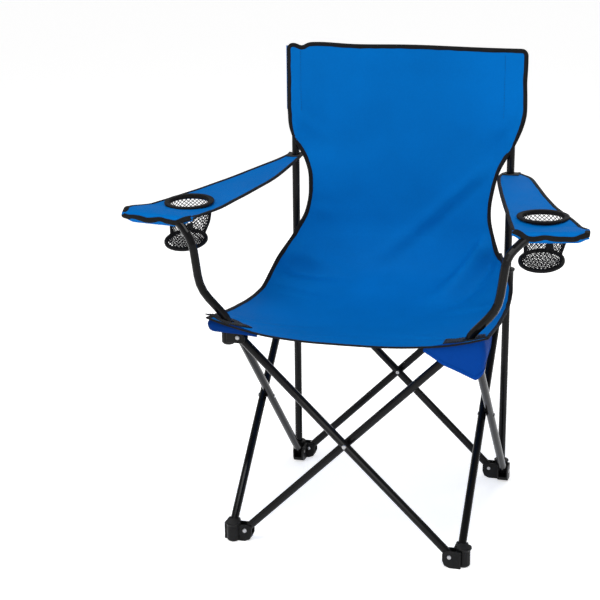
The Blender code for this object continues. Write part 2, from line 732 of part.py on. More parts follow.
def pocket_rows(side):
    """Plan path from the inner front end round the corner to the rear end, then down."""
    reach, middle, low_top, middle_top, top, drop = POCKETS[side]
    # X, Y, top Z, share of the drop
    plan = [(CORNER - reach, -POCKET_FRONT, low_top, 0.0), (CORNER - middle, -POCKET_FRONT, middle_top, 0.55)]
    for k in range(5):
        angle = math.pi / 2 * k / 4
        x = POCKET_SIDE - POCKET_CURVE + POCKET_CURVE * math.sin(angle)
        y = -POCKET_FRONT + POCKET_CURVE - POCKET_CURVE * math.cos(angle)
        plan.append((x, y, top, 1.0 - 0.05 * k))
    plan.append((POCKET_SIDE, -CORNER + POCKET_BACK, top - POCKET_EDGE * 1.6, 0.0))
    rows = []
    for level in (0.0, 0.5, 1.0):
        rows.append([(x, y, z - level * (POCKET_EDGE + drop * depth)) for x, y, z, depth in plan])
    return rows


for side, sign in (("left", -1), ("right", 1)):
    pocket = sheet("pocket_" + side, pocket_rows(side), POCKET_T, material("pocket_" + side, DEEP_BLUE, 0.85))
    put(mirrored(pocket, sign), Matrix())
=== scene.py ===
import math

import bmesh
import bpy
import numpy as np
from mathutils import Matrix, Vector, noise


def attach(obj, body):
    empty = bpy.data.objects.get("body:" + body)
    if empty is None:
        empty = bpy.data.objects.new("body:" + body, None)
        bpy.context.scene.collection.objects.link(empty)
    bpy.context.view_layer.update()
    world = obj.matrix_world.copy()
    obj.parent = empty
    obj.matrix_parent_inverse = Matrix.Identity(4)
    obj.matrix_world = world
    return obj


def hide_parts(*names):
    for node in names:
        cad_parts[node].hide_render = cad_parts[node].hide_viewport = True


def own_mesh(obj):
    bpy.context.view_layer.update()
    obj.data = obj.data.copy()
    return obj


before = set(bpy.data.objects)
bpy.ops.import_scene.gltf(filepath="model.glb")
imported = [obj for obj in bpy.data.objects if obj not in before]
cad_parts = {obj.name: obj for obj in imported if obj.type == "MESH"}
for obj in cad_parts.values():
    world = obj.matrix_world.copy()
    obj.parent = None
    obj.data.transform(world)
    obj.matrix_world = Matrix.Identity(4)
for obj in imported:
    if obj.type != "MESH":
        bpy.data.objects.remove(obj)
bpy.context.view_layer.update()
scene = bpy.context.scene

# ---- frame dimensions, repeated from the CAD source ----
CORNER = 0.2  # upright and post axes, from the centre
TUBE_R = 0.007
SIDES = ((-1, "left"), (1, "right"))

# ---- camera, lights, floor ----
EYE = (0.576, -2.409, 1.082)
LENS = 88.8
SHIFT = (-0.0484, 0.05)
PAN, DOWN, ROLL = 15.3, 16.82, -0.25  # degrees


def add(name, data):
    obj = bpy.data.objects.new(name, data)
    scene.collection.objects.link(obj)
    return obj


cam_data = bpy.data.cameras.new("camera")
cam_data.sensor_width = 36.0
cam_data.lens = LENS
cam_data.shift_x, cam_data.shift_y = SHIFT
camera = add("camera", cam_data)
camera.location = EYE
aim = Matrix.Rotation(math.radians(PAN), 3, "Z") @ Matrix.Rotation(math.radians(90 - DOWN), 3, "X")
camera.rotation_euler = (aim @ Matrix.Rotation(math.radians(ROLL), 3, "Z")).to_euler()
scene.camera = camera

# Name, place, aim, size and power of each area light.
LIGHTS = (
    ("key", (-1.5, -2.4, 2.2), (0, 0, 0.45), (1.0, 1.0), 20),
    ("fill", (1.3, -2.9, 1.0), (0, 0, 0.45), (1.2, 1.0), 11),
    ("top", (0.0, -0.7, 2.9), (0, 0, 0.35), (1.6, 1.4), 43),
    ("rim", (0.9, 2.6, 1.8), (0, 0, 0.4), (1.2, 1.0), 12),
)


def area_light(name, place, aim, size, power):
    data = bpy.data.lights.new(name, "AREA")
    data.shape = "RECTANGLE"
    data.size, data.size_y = size
    data.energy = power
    lamp = add(name, data)
    lamp.location = place
    lamp.rotation_euler = (Vector(aim) - Vector(place)).to_track_quat("-Z", "Y").to_euler()


for light in LIGHTS:
    area_light(*light)

# White round the horizon, greyer overhead, so that dark gloss stays dark.
SKY_GREYS = ((0.1, 1.0), (0.55, 0.34))  # height on the dome, and grey
world = bpy.data.worlds.new("world")
world.use_nodes = True
sky = world.node_tree
spread = sky.nodes.new("ShaderNodeSeparateXYZ")
shade = sky.nodes.new("ShaderNodeValToRGB")
for element, (level, grey) in zip(shade.color_ramp.elements, SKY_GREYS):
    element.position = level
    element.color = (grey, grey, grey, 1.0)
sky.links.new(sky.nodes.new("ShaderNodeTexCoord").outputs["Generated"], spread.inputs["Vector"])
sky.links.new(spread.outputs["Z"], shade.inputs["Fac"])
sky.links.new(shade.outputs["Color"], sky.nodes["Background"].inputs["Color"])
sky.nodes["Background"].inputs["Strength"].default_value = 1.0
scene.world = world
scene.view_settings.view_transform = "Standard"


# ---- materials ----
class Shader:
    """A small builder for one Principled material."""

    def __init__(self, name, colour, roughness, **sockets):
        self.mat = bpy.data.materials.new(name)
        self.mat.use_nodes = True
        self.mat.diffuse_color = (*colour, 1.0)
        self.tree = self.mat.node_tree
        self.out = self.tree.nodes["Principled BSDF"]
        self.out.inputs["Base Color"].default_value = (*colour, 1.0)
        self.out.inputs["Roughness"].default_value = roughness
        self.last_bump = None
        for key, value in sockets.items():
            self.out.inputs[key.replace("_", " ")].default_value = value

    def node(self, kind, links=(), **values):
        made = self.tree.nodes.new(kind)
        for key, value in values.items():
            if hasattr(made, key):
                setattr(made, key, value)
            else:
                made.inputs[key.replace("_", " ")].default_value = value
        for socket, source in links:
            self.tree.links.new(source, made.inputs[socket])
        return made

    def feed(self, socket, source):
        self.tree.links.new(source, self.out.inputs[socket])

    def math(self, operation, *values):
        made = self.tree.nodes.new("ShaderNodeMath")
        made.operation = operation
        for i, value in enumerate(values):
            if isinstance(value, (int, float)):
                made.inputs[i].default_value = value
            else:
                self.tree.links.new(value, made.inputs[i])
        return made.outputs[0]

    def uv(self):
        flat = self.node("ShaderNodeUVMap").outputs["UV"]
        split = self.node("ShaderNodeSeparateXYZ", [("Vector", flat)])
        return split.outputs["X"], split.outputs["Y"]

    def noise(self, scale, detail, stretch=None):
        """Smooth noise in the piece's own metres; stretch gives the mapping's values."""
        place = self.node("ShaderNodeTexCoord").outputs["Object"]
        if stretch:
            place = self.node("ShaderNodeMapping", [("Vector", place)], **stretch).outputs["Vector"]
        made = self.node("ShaderNodeTexNoise", [("Vector", place)], Scale=scale, Detail=detail)
        return made.outputs["Fac"]

    def ramp(self, fac, low, high, start=0.0, end=1.0):
        made = self.node("ShaderNodeValToRGB", [("Fac", fac)])
        for element, place, colour in zip(made.color_ramp.elements, (start, end), (low, high)):
            element.position = place
            element.color = (*colour, 1.0)
        return made.outputs["Color"]

    def colour(self, fac, base, low, high, start=0.0, end=1.0):
        """The base colour, darkened and lightened by the two factors."""
        self.feed("Base Color", self.ramp(fac, times(base, low), times(base, high), start, end))

    def rough(self, fac, low, high):
        made = self.node("ShaderNodeMapRange", [("Value", fac)], To_Min=low, To_Max=high)
        self.feed("Roughness", made.outputs["Result"])

    def bump(self, height, distance, strength=1.0):
        links = [("Height", height)] + ([("Normal", self.last_bump)] if self.last_bump else [])
        made = self.node("ShaderNodeBump", links, Distance=distance, Strength=strength)
        self.last_bump = made.outputs["Normal"]
        self.feed("Normal", self.last_bump)


def times(colour, factor):
    return tuple(min(1.0, c * factor) for c in colour)


BLUE = (0.000, 0.121, 0.418)
POCKET_BLUE = (0.001, 0.042, 0.25)
BINDING = (0.0055, 0.0055, 0.006)
WEBBING = (0.02, 0.021, 0.023)
POWDER = (0.003, 0.003, 0.0033)
PLASTIC = (0.0045, 0.0045, 0.0048)
NET = (0.005, 0.005, 0.006)
STEEL = (0.42, 0.42, 0.43)
WEAVE_PITCH = 0.0011


def cloth_material(name, colour, streaks=0.0):
    """Plain-woven coated polyester; the weave follows the flat cut, whose UVs are in metres."""
    s = Shader(name, colour, 0.7, Sheen_Weight=0.0, Sheen_Roughness=0.5, Specular_IOR_Level=0.025)
    u, v = s.uv()
    over, under = (s.math("SINE", s.math("MULTIPLY", a, math.tau / WEAVE_PITCH)) for a in (u, v))
    weave = s.math("MULTIPLY_ADD", s.math("MULTIPLY", over, under), 0.5, 0.5)
    broad = s.noise(9.0, 3.0)
    fine = s.noise(260.0, 2.0)
    # The colour mixes random tone from the broad and fine noise with painted shade from the weave: darker
    # in the gaps between the yarns.
    mixed = s.math("ADD", s.math("MULTIPLY", broad, 0.55), s.math("MULTIPLY", weave, 0.2))
    mixed = s.math("ADD", mixed, s.math("MULTIPLY", fine, 0.25))
    s.colour(mixed, colour, 0.86, 1.12, 0.25, 0.8)
    s.rough(broad, 0.56, 0.7)
    s.bump(weave, 0.00016, 0.6)
    s.bump(s.noise(36.0, 4.0), 0.0011, 0.35)
    if streaks:
        stretch = {"Scale": (14.0, 90.0, 60.0), "Rotation": (0.0, 0.0, 0.35)}
        s.bump(s.noise(1.0, 3.0, stretch), 0.0009, streaks)
    return s.mat


def tape_material(name, colour, pitch, roughness=0.72):
    """Ribbed tape or webbing: U runs along it, in metres, and V across."""
    s = Shader(name, colour, roughness, Sheen_Weight=0.02, Sheen_Roughness=0.5, Specular_IOR_Level=0.12)
    u, v = s.uv()
    turn = math.tau / pitch
    rib = s.math("SINE", s.math("ADD", s.math("MULTIPLY", u, turn), s.math("MULTIPLY", v, turn)))
    mixed = s.math("ADD", s.math("MULTIPLY", rib, 0.18), s.noise(45.0, 3.0))
    s.colour(mixed, colour, 0.7, 1.6, 0.25, 0.85)
    s.rough(s.noise(60.0, 2.0), roughness - 0.08, roughness + 0.08)
    s.bump(rib, 0.00022, 0.7)
    return s.mat


def hard_material(name, colour, roughness, blotch, tone, rough, grain, **sockets):
    """Blotches (scale, detail) vary tone and gloss; the grain is (scale, detail, height, strength)."""
    s = Shader(name, colour, roughness, **sockets)
    patches = s.noise(*blotch)
    s.colour(patches, colour, *tone)
    if rough:
        s.rough(patches, *rough)
    s.bump(s.noise(*grain[:2]), *grain[2:])
    return s.mat


MAT = {
    "cloth": cloth_material("cloth_blue", BLUE, 0.22),
    # The left pocket's material is the pocket blue darkened to 0.55, as painted shade on the strip that
    # faces down.
    "pocket_left": cloth_material("cloth_pocket_left_painted_shade", times(POCKET_BLUE, 0.55)),
    "pocket_right": cloth_material("cloth_pocket_right", POCKET_BLUE),
    "binding": tape_material("binding_tape", BINDING, 0.0012),
    "webbing": tape_material("webbing_grey", WEBBING, 0.0022, 0.62),
    # Glossy powder coat with a fine orange peel and a few dull rubs.
    "powder": hard_material("powder_coat", POWDER, 0.12, (24.0, 4.0), (0.85, 1.8, 0.35, 0.8), (0.07, 0.17),
                            (620.0, 1.0, 0.00003, 0.5), Specular_IOR_Level=0.14),
    # Moulded plastic with a spark-eroded grain, paler where it is handled.
    "plastic": hard_material("moulded_plastic", PLASTIC, 0.42, (55.0, 4.0), (0.8, 2.1, 0.35, 0.85),
                             (0.34, 0.54), (900.0, 2.0, 0.00008, 0.6), Specular_IOR_Level=0.12),
    # Zinc-plated rivet heads, faintly brushed and smudged.
    "steel": hard_material("plated_steel", STEEL, 0.3, (210.0, 3.0), (0.72, 1.1, 0.3, 0.75), (0.22, 0.42),
                           (1500.0, 1.0, 0.00003, 0.5), Metallic=1.0),
    "yarn": hard_material("net_yarn", NET, 0.6, (1800.0, 2.0), (0.7, 2.2), None,
                          (1800.0, 2.0, 0.00005, 0.6), Sheen_Weight=0.02, Specular_IOR_Level=0.08),
    "thread": tape_material("thread_black", (0.008, 0.008, 0.01), 0.0007),
    "thread_blue": tape_material("thread_blue", times(BLUE, 0.45), 0.0007),
}

CAD_KINDS = {
    "powder": ("tube_", "upright_", "arm_post"),
    "steel": ("pin_",),
    "plastic": ("foot_", "hub_", "slider_", "cap_", "plug_"),
}
for name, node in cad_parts.items():
    kind = next((kind for kind, starts in CAD_KINDS.items() if name.startswith(starts)), None)
    if not kind:
        continue
    node.data.materials.clear()
    node.data.materials.append(MAT[kind])
    if kind == "plastic":
        edge = node.modifiers.new("soft_edges", "BEVEL")
        edge.width = 0.0004
        edge.segments = 2
        edge.limit_method = "ANGLE"
        edge.angle_limit = math.radians(40)


# ---- mesh helpers ----
def make(name, verts, faces, mat, uvs=None, smooth=True):
    """A new mesh piece; uvs holds one pair for each vertex."""
    mesh = bpy.data.meshes.new(name)
    places = [tuple(map(float, v)) for v in verts]
    mesh.from_pydata(places, [], [tuple(int(i) for i in f) for f in faces])
    mesh.materials.append(MAT[mat])
    if uvs is not None:
        layer = mesh.uv_layers.new(name="UVMap")
        for loop in mesh.loops:
            layer.data[loop.index].uv = uvs[loop.vertex_index]
    if smooth:
        mesh.shade_smooth()
    return add(name, mesh)


def unit(a):
    return a / np.maximum(np.linalg.norm(a, axis=-1, keepdims=True), 1e-12)


def running(points):
    """Distance along a line of points."""
    steps = np.linalg.norm(np.diff(points, axis=0), axis=1)
    return np.concatenate([[0.0], np.cumsum(steps)])


def catmull(keys, at):
    """Catmull-Rom through the keys at the parameter values, 0 to len - 1."""
    keys = np.asarray(keys, float)
    last = len(keys) - 1
    i = np.clip(np.floor(at).astype(int), 0, last - 1)
    t = (at - i)[:, None]
    p0, p1, p2, p3 = keys[np.maximum(i - 1, 0)], keys[i], keys[i + 1], keys[np.minimum(i + 2, last)]
    return 0.5 * (2 * p1 + (p2 - p0) * t + (2 * p0 - 5 * p1 + 4 * p2 - p3) * t ** 2
                  + (3 * p1 - p0 - 3 * p2 + p3) * t ** 3)


def smooth(x, start, end):
    """From 0 at the start to 1 at the end, without a corner."""
    t = np.clip((x - start) / (end - start), 0, 1)
    return t * t * (3 - 2 * t)


def wobble(points, scale, seed):
    """Smooth noise, one value for each point, about -1 to 1."""
    places = points * scale + np.array((seed, -seed, 0.0))
    return np.array([noise.noise(Vector(p)) for p in places.reshape(-1, 3)]).reshape(points.shape[:-1])


def grid_normals(grid):
    down = np.gradient(grid, axis=0)
    over = np.gradient(grid, axis=1)
    return unit(np.cross(down, over))


def upward_normals(grid):
    normals = grid_normals(grid)
    return normals * np.sign(normals[6, grid.shape[1] // 2, 2])


def grid_uvs(grid):
    """Flat-cut coordinates in metres: along each row from its middle, and down the middle column."""
    rows, cols = grid.shape[:2]
    middle = cols // 2
    down = running(grid[:, middle])
    uv = np.zeros((rows, cols, 2))
    for i in range(rows):
        along = running(grid[i])
        uv[i, :, 0] = along - along[middle]
        uv[i, :, 1] = -down[i]
    return uv


def panel(name, grid, mat, thickness, uv=None, normals=None):
    """A cloth panel with real thickness from a grid of points."""
    rows, cols = grid.shape[:2]
    uv = grid_uvs(grid) if uv is None else uv
    normals = grid_normals(grid) if normals is None else normals
    count = rows * cols
    verts = np.concatenate([(grid + normals * thickness / 2).reshape(-1, 3),
                            (grid - normals * thickness / 2).reshape(-1, 3)])
    corners = [i * cols + j for i in range(rows - 1) for j in range(cols - 1)]
    front = [(a, a + 1, a + 1 + cols, a + cols) for a in corners]
    faces = front + [(d + count, c + count, b + count, a + count) for a, b, c, d in front]
    used = dict.fromkeys(edge for face in front for edge in zip(face, face[1:] + face[:1]))
    faces += [(b, a, a + count, b + count) for a, b in used if (b, a) not in used]
    uvs = np.concatenate([uv.reshape(-1, 2), uv.reshape(-1, 2)])
    return tidy(make(name, verts, faces, mat, uvs))


def tidy(obj):
    """Drop the points that no face uses, and turn every face outwards."""
    work = bmesh.new()
    work.from_mesh(obj.data)
    loose = [v for v in work.verts if not v.link_faces]
    bmesh.ops.delete(work, geom=loose, context="VERTS")
    bmesh.ops.recalc_face_normals(work, faces=work.faces)
    work.to_mesh(obj.data)
    work.free()
    return obj


def tube_faces(rings, sides, first=0, closed=False):
    """Faces of a tube through rings of points, capped at both ends unless it closes on itself."""
    faces = []
    for i in range(rings if closed else rings - 1):
        row, after = first + i * sides, first + (i + 1) % rings * sides
        for k in range(sides):
            m = (k + 1) % sides
            faces.append((row + k, row + m, after + m, after + k))
    if not closed:
        faces.append(tuple(range(first + sides - 1, first - 1, -1)))
        faces.append(tuple(range(first + (rings - 1) * sides, first + rings * sides)))
    return faces


TAPE_RIPPLE = 0.1  # how much a binding's width wavers along it
TAPE_SQUARE = 0.7  # below 1 its section is squarer than an oval


def spaced(points, gap):
    """The numbers of the points that lie at least the gap apart."""
    keep = [0]
    for i in range(1, len(points)):
        if np.linalg.norm(points[i] - points[keep[-1]]) > gap:
            keep.append(i)
    return keep


def band(name, points, inward, mat="binding", half_width=0.004, half_thick=0.0015, closed=False,
         overlap=0.0012, sides=10):
    """Folded tape over a cloth edge: a flattened ring swept along it."""
    points = np.asarray(points, float)
    count = len(points)
    along = running(points)
    if closed:
        tangent = unit(np.roll(points, -1, 0) - np.roll(points, 1, 0))
    else:
        tangent = unit(np.gradient(points, axis=0))
    inward = unit(inward - tangent * (inward * tangent).sum(1, keepdims=True))
    normals = unit(np.cross(tangent, inward))
    ripple = wobble(points, 55.0, 3.7)
    half_width = np.broadcast_to(half_width, count)
    verts, uvs = [], []
    for i in range(count):
        wide = half_width[i] * (1 + TAPE_RIPPLE * ripple[i])
        centre = points[i] + inward[i] * (wide - overlap)
        for k in range(sides):
            angle = math.tau * k / sides
            c, s = math.cos(angle), math.sin(angle)
            wide_at = math.copysign(abs(c) ** TAPE_SQUARE, c) * wide
            thick_at = math.copysign(abs(s) ** TAPE_SQUARE, s) * half_thick
            verts.append(centre + inward[i] * wide_at + normals[i] * thick_at)
            uvs.append((along[i], k / sides * 4 * half_width[i]))
    faces = tube_faces(count, sides, closed=closed)
    return tidy(make(name, verts, faces, mat, uvs))


STITCH_PITCH = 0.0046
STITCH_LENGTH = 0.0032
STITCH_R = 0.00038
STITCH_SIDES = 5
# Place along the stitch and share of its radius, for each of its rings.
STITCH_RINGS = ((-1, 0.25), (-0.6, 1.0), (0.6, 1.0), (1, 0.25))


def stitches(name, points, normals, mat):
    """A row of separate thread stitches lying on a surface."""
    points = np.asarray(points, float)
    along = running(points)
    count = max(2, int(along[-1] / STITCH_PITCH))
    at = (np.arange(count) + 0.5) * along[-1] / count

    def spot(distance, values=points):
        return np.stack([np.interp(distance, along, values[:, k]) for k in range(3)], axis=1)

    ahead = spot(np.minimum(at + 0.001, along[-1]))
    behind = spot(np.maximum(at - 0.001, 0))
    up = unit(spot(at, normals))
    run = unit(ahead - behind)
    side = unit(np.cross(up, run))
    verts, faces, uvs = [], [], []
    for p, t, n, s in zip(spot(at), run, up, side):
        base = len(verts)
        for place, share in STITCH_RINGS:
            sink = 0.6 if share == 1.0 else -0.4
            centre = p + n * (STITCH_R * sink) + t * place * STITCH_LENGTH / 2
            for k in range(STITCH_SIDES):
                a = math.tau * k / STITCH_SIDES
                verts.append(centre + (s * math.cos(a) + n * math.sin(a)) * STITCH_R * share)
                uvs.append((place * STITCH_LENGTH, k * STITCH_R))
        faces += tube_faces(len(STITCH_RINGS), STITCH_SIDES, base)
    return tidy(make(name, verts, faces, mat, uvs))


# ---- the seat and back cloth ----
SHIFT_Y = -0.00019  # the CAD source centres its box with this
CLOTH = 0.0014  # visible cloth thickness
# Reach to the left and to the right, edge Y, edge Z, centre Y, centre Z.
BACK_KEYS = (
    (0.2115, 0.2255, 0.1914, 0.8030, 0.1960, 0.8030),
    (0.2113, 0.2252, 0.1914, 0.7450, 0.2060, 0.7450),
    (0.2112, 0.2250, 0.1914, 0.6850, 0.2140, 0.6850),
    (0.2045, 0.2095, 0.1908, 0.6400, 0.2190, 0.6400),
    (0.1775, 0.1832, 0.1890, 0.5900, 0.2230, 0.5890),
    (0.1705, 0.1710, 0.1870, 0.5450, 0.2260, 0.5440),
    (0.1765, 0.1695, 0.1820, 0.5000, 0.2260, 0.4980),
    (0.1955, 0.1825, 0.1665, 0.4590, 0.2198, 0.4540),
)
SEAT_KEYS = (
    (0.2140, 0.2060, 0.1300, 0.4240, 0.1920, 0.3990),
    (0.2215, 0.2240, 0.0980, 0.4010, 0.1400, 0.3720),
    (0.2265, 0.2265, 0.0560, 0.3790, 0.0780, 0.3570),
    (0.2285, 0.2285, -0.0200, 0.3780, -0.0100, 0.3510),
    (0.2290, 0.2310, -0.1000, 0.3850, -0.0940, 0.3550),
    (0.2290, 0.2335, -0.1700, 0.3950, -0.1680, 0.3655),
    (0.2285, 0.2350, -0.2270, 0.4035, -0.2270, 0.3740),
)
CLOTH_KEYS = BACK_KEYS + SEAT_KEYS
SLEEVE_LOW, BACK_TOP = 0.685, 0.803
WRAP_LOW, WRAP_HIGH = 0.6, 0.665  # between these heights the edges turn flat, upwards
WRAP = 0.19  # beyond this X the flat edges lie in front of the uprights
REAR_SPLIT, FRONT_SPLIT, LAST = 7.0, 11.0, 14.0  # the keys where the cloth is split or ends
FRONT_FLAT = 0.6  # the seat's sag is flatter in the middle towards the front edge
ROW_PITCH = 0.0062
COLUMNS = 101
RIGHT, MIDDLE = COLUMNS - 1, COLUMNS // 2
TOP_CORNER = 0.011  # radius of the back's top corners
TOP_ROWS = (0, 0.0006, 0.0016, 0.003, 0.005, 0.0078)  # distance of the first rows from the top edge
TOP_ROWS_END = 0.011


def row_places():
    """Key parameters of the rows, close together at the top, with rows exactly on both splits."""
    fine = np.linspace(0, LAST, 3001)
    mid = catmull(CLOTH_KEYS, fine)
    length = (running(mid[:, 2:4]) + running(mid[:, 4:6])) / 2
    at = [np.interp(d, length, fine) for d in TOP_ROWS]
    start = TOP_ROWS_END
    splits = []
    for stop in (REAR_SPLIT, FRONT_SPLIT, LAST):
        end = np.interp(stop, fine, length)
        count = max(2, int(round((end - start) / ROW_PITCH)))
        places = np.interp(np.linspace(start, end, count + 1), length, fine)
        places[-1] = stop
        at.extend(places if not splits else places[1:])
        splits.append(len(at) - 1)
        start = end
    return np.array(at), splits


def cloth_grid(at):
    left, right, edge_y, edge_z, mid_y, mid_z = catmull(CLOTH_KEYS, at).T[:, :, None]
    at = at[:, None]
    u = np.linspace(-1, 1, COLUMNS)
    corner = np.where(at < 1, np.maximum(0.0, TOP_CORNER - (BACK_TOP - edge_z)), 0.0)
    cut_off = TOP_CORNER - np.sqrt(np.maximum(0.0, TOP_CORNER ** 2 - corner ** 2))
    reach = np.where(u < 0, left, right) - cut_off
    flat = np.clip((edge_z - WRAP_LOW) / (WRAP_HIGH - WRAP_LOW), 0, 1)
    limit = reach * (1 - flat) + WRAP * flat
    power = 2 + FRONT_FLAT * np.clip((at - FRONT_SPLIT + 1) / 3, 0, 1)
    x = reach * u
    sag = np.maximum(0.0, 1 - np.abs(x / limit) ** power)
    y = edge_y + (mid_y - edge_y) * sag + SHIFT_Y
    return np.stack([x, y, edge_z + (mid_z - edge_z) * sag], axis=2)


FOLD_HOLLOW = 0.65  # depth of the hollow beside a crest, as a share of its height
FOLD_ENDS = (0.01, 0.14)  # how softly a fold fades before its start and towards its end


def fold_line(uv, start, end, width, height, taper):
    """A soft fold from start to end on the flat cut: a crest with a hollow on its left."""
    a, b = np.array(start), np.array(end)
    run = b - a
    length = np.linalg.norm(run)
    run = run / length
    rel = uv - a
    along = np.clip((rel @ run) / length, -0.3, 1.3)
    off = rel @ np.array([-run[1], run[0]])
    spread = width * np.maximum(0.3, 1 + taper * (along - 0.45))
    before, after = FOLD_ENDS
    fade = np.exp(-np.maximum(0, -along) ** 2 / before)
    fade = fade * np.exp(-np.maximum(0, along - 0.35) ** 2 / after)
    hollow = np.exp(-((off - 1.5 * spread) / spread) ** 2)
    shape = np.exp(-(off / spread) ** 2) - FOLD_HOLLOW * hollow
    return height * fade * shape


# Start and end on the flat cut (metres, from the top middle), width, height and taper of each fold.
FOLDS = (
    ((-0.200, -0.120), (-0.120, -0.200), 0.012, 0.0012, 0.9),
    ((0.205, -0.120), (0.130, -0.195), 0.012, 0.0012, 0.9),
    ((0.130, -0.240), (-0.135, -0.482), 0.014, 0.0042, 0.3),
    ((0.172, -0.360), (0.060, -0.560), 0.020, 0.0165, 0.4),
    ((0.195, -0.420), (0.075, -0.520), 0.014, 0.0024, 0.9),
    ((-0.175, -0.300), (-0.120, -0.320), 0.012, 0.0016, 0.4),
    ((-0.225, -0.436), (-0.075, -0.462), 0.022, -0.0125, -1.0),
    ((-0.205, -0.520), (-0.060, -0.560), 0.015, 0.0016, 0.9),
    ((0.205, -0.530), (0.060, -0.580), 0.015, 0.0016, 0.9),
    ((-0.200, -0.770), (-0.020, -0.690), 0.012, 0.0018, 0.9),
    ((-0.140, -0.800), (0.060, -0.745), 0.010, 0.0013, 0.6),
    ((0.195, -0.770), (0.020, -0.690), 0.012, 0.0018, 0.9),
    ((0.150, -0.800), (-0.020, -0.760), 0.010, 0.0012, 0.6),
)
BUMPS = ((0.0011, 7.0, 4.2), (0.0004, 21.0, 9.1))  # height, scale and seed of the unevenness
CALM_COLUMNS, CALM_ROWS = 7.0, 12.0  # the relief fades out over these, towards the sides and the top
RIPPLE_HEIGHT, RIPPLE_SCALE = 0.0011, 30.0
RIPPLE_COLUMNS, RIPPLE_ROWS = 6, 10.0
# Height, X and spread of each rise and dip along the back's top edge.
TOP_WAVES = ((0.0034, -0.15, 0.045), (-0.0052, -0.184, 0.009), (0.0022, 0.02, 0.09))
TOP_WAVE_DEPTH = 0.03  # below the top edge the waves have died out


def facing_normals(grid):
    """Normals on the sitter's side of the whole cloth."""
    normals = grid_normals(grid)
    return normals * -np.sign(normals[SPLITS[0] // 2, MIDDLE, 1])


AT, SPLITS = row_places()
GRID = cloth_grid(AT)
FLAT = grid_uvs(GRID)
NORMALS = facing_normals(GRID)
relief = sum(fold_line(FLAT, *fold) for fold in FOLDS)
for height, scale, seed in BUMPS:
    relief = relief + height * wobble(GRID, scale, seed)
columns = np.arange(COLUMNS)
rows_down = np.arange(len(AT))
calm_across = np.minimum(1.0, np.minimum(columns, columns[::-1]) / CALM_COLUMNS)
calm = calm_across[None, :] * np.minimum(1.0, rows_down / CALM_ROWS)[:, None]
GRID = GRID + NORMALS * (relief * calm)[..., None]
for side_column in (0, RIGHT):
    away = 1 if side_column else -1
    ripple = RIPPLE_HEIGHT * wobble(GRID[:, side_column], RIPPLE_SCALE, 2.0 + away)
    for k in range(RIPPLE_COLUMNS):
        share = (1 - k / RIPPLE_COLUMNS) * np.minimum(1.0, rows_down / RIPPLE_ROWS)
        GRID[:, side_column - away * k, 0] += away * ripple * share
top_x = GRID[0, :, 0]
lift = sum(height * np.exp(-((top_x - x) / spread) ** 2) for height, x, spread in TOP_WAVES)
for i in np.flatnonzero(AT < 2):
    drop = BACK_TOP - GRID[i, MIDDLE, 2]
    GRID[i, :, 2] += lift * max(0.0, 1 - drop / TOP_WAVE_DEPTH)
NORMALS = facing_normals(GRID)

ROOT_CORNER = (-0.2, 0.2, 0.0)  # the rear left foot, towards which the chair closes
SOFT = []  # (piece, body, squash axis or None, anchor)
X_AXIS, Y_AXIS, Z_AXIS = (1, 0, 0), (0, 1, 0), (0, 0, 1)
CLOTH_BODY = {"back": "rear_left_foot", "seat_rear": "seat_rear_half", "seat_front": "seat_front_half"}


def soft(obj, body, axis=None, anchor=ROOT_CORNER):
    SOFT.append((obj, body, axis, anchor))
    return obj


def on_cloth(obj, slot):
    """Ride with one part of the cloth; X is recorded as its squash axis."""
    return soft(obj, CLOTH_BODY[slot], X_AXIS)


def on_hub(obj, side, hand, axis):
    """Ride the front hub; the axis and the corner where it stands are recorded."""
    return soft(obj, "hub_%s_block" % hand, axis, (side * CORNER, -CORNER, 0))


def cloth_part(slot, first, last):
    rows = slice(first, last + 1)
    made = panel(slot + "_cloth", GRID[rows], "cloth", CLOTH, FLAT[rows], normals=NORMALS[rows])
    return on_cloth(made, slot)


def border(name, slot, *runs):
    """A binding along several runs of grid points, given as (points, inward)."""
    points = np.concatenate([p for p, _ in runs])
    inward = np.concatenate([unit(q) for _, q in runs])
    keep = spaced(points, 0.0012)
    return on_cloth(band(name, points[keep], inward[keep]), slot)


INSET = 5  # columns or rows from an edge to the cloth that its binding faces
FRONT_INSET = 4  # the same at the seat's front edge
CORNER_IN, CORNER_DOWN = 8, 9  # column and row that the top corners' binding faces


def side_run(first, last, column, reverse=False):
    rows = np.arange(first, last + 1)
    if reverse:
        rows = rows[::-1]
    inner = INSET if column == 0 else RIGHT - INSET
    return GRID[rows, column], GRID[rows, inner] - GRID[rows, column]


def cross_run(row, inner_row):
    return GRID[row], GRID[inner_row] - GRID[row]


def corner_run(column, inner, reverse=False):
    points = GRID[1:INSET, column][::-1] if reverse else GRID[1:INSET, column]
    return points, GRID[CORNER_DOWN, inner] - points


BACK_END, REAR_END, FRONT_END = SPLITS
back = cloth_part("back", 0, BACK_END)
seat_rear = cloth_part("seat_rear", BACK_END, REAR_END)
seat_front = cloth_part("seat_front", REAR_END, FRONT_END)
back_binding = border(
    "back_binding", "back",
    side_run(INSET, BACK_END, 0, True),
    corner_run(0, CORNER_IN, True),
    cross_run(0, INSET),
    corner_run(RIGHT, RIGHT - CORNER_IN),
    side_run(INSET, BACK_END, RIGHT))
rear_bindings = [
    border("seat_rear_binding_" + hand, "seat_rear", side_run(BACK_END, REAR_END, 0 if side < 0 else RIGHT))
    for side, hand in SIDES]
front_binding = border(
    "seat_front_binding", "seat_front",
    side_run(REAR_END, FRONT_END - 2, 0),
    cross_run(FRONT_END, FRONT_END - FRONT_INSET),
    side_run(REAR_END, FRONT_END - 2, RIGHT, True))

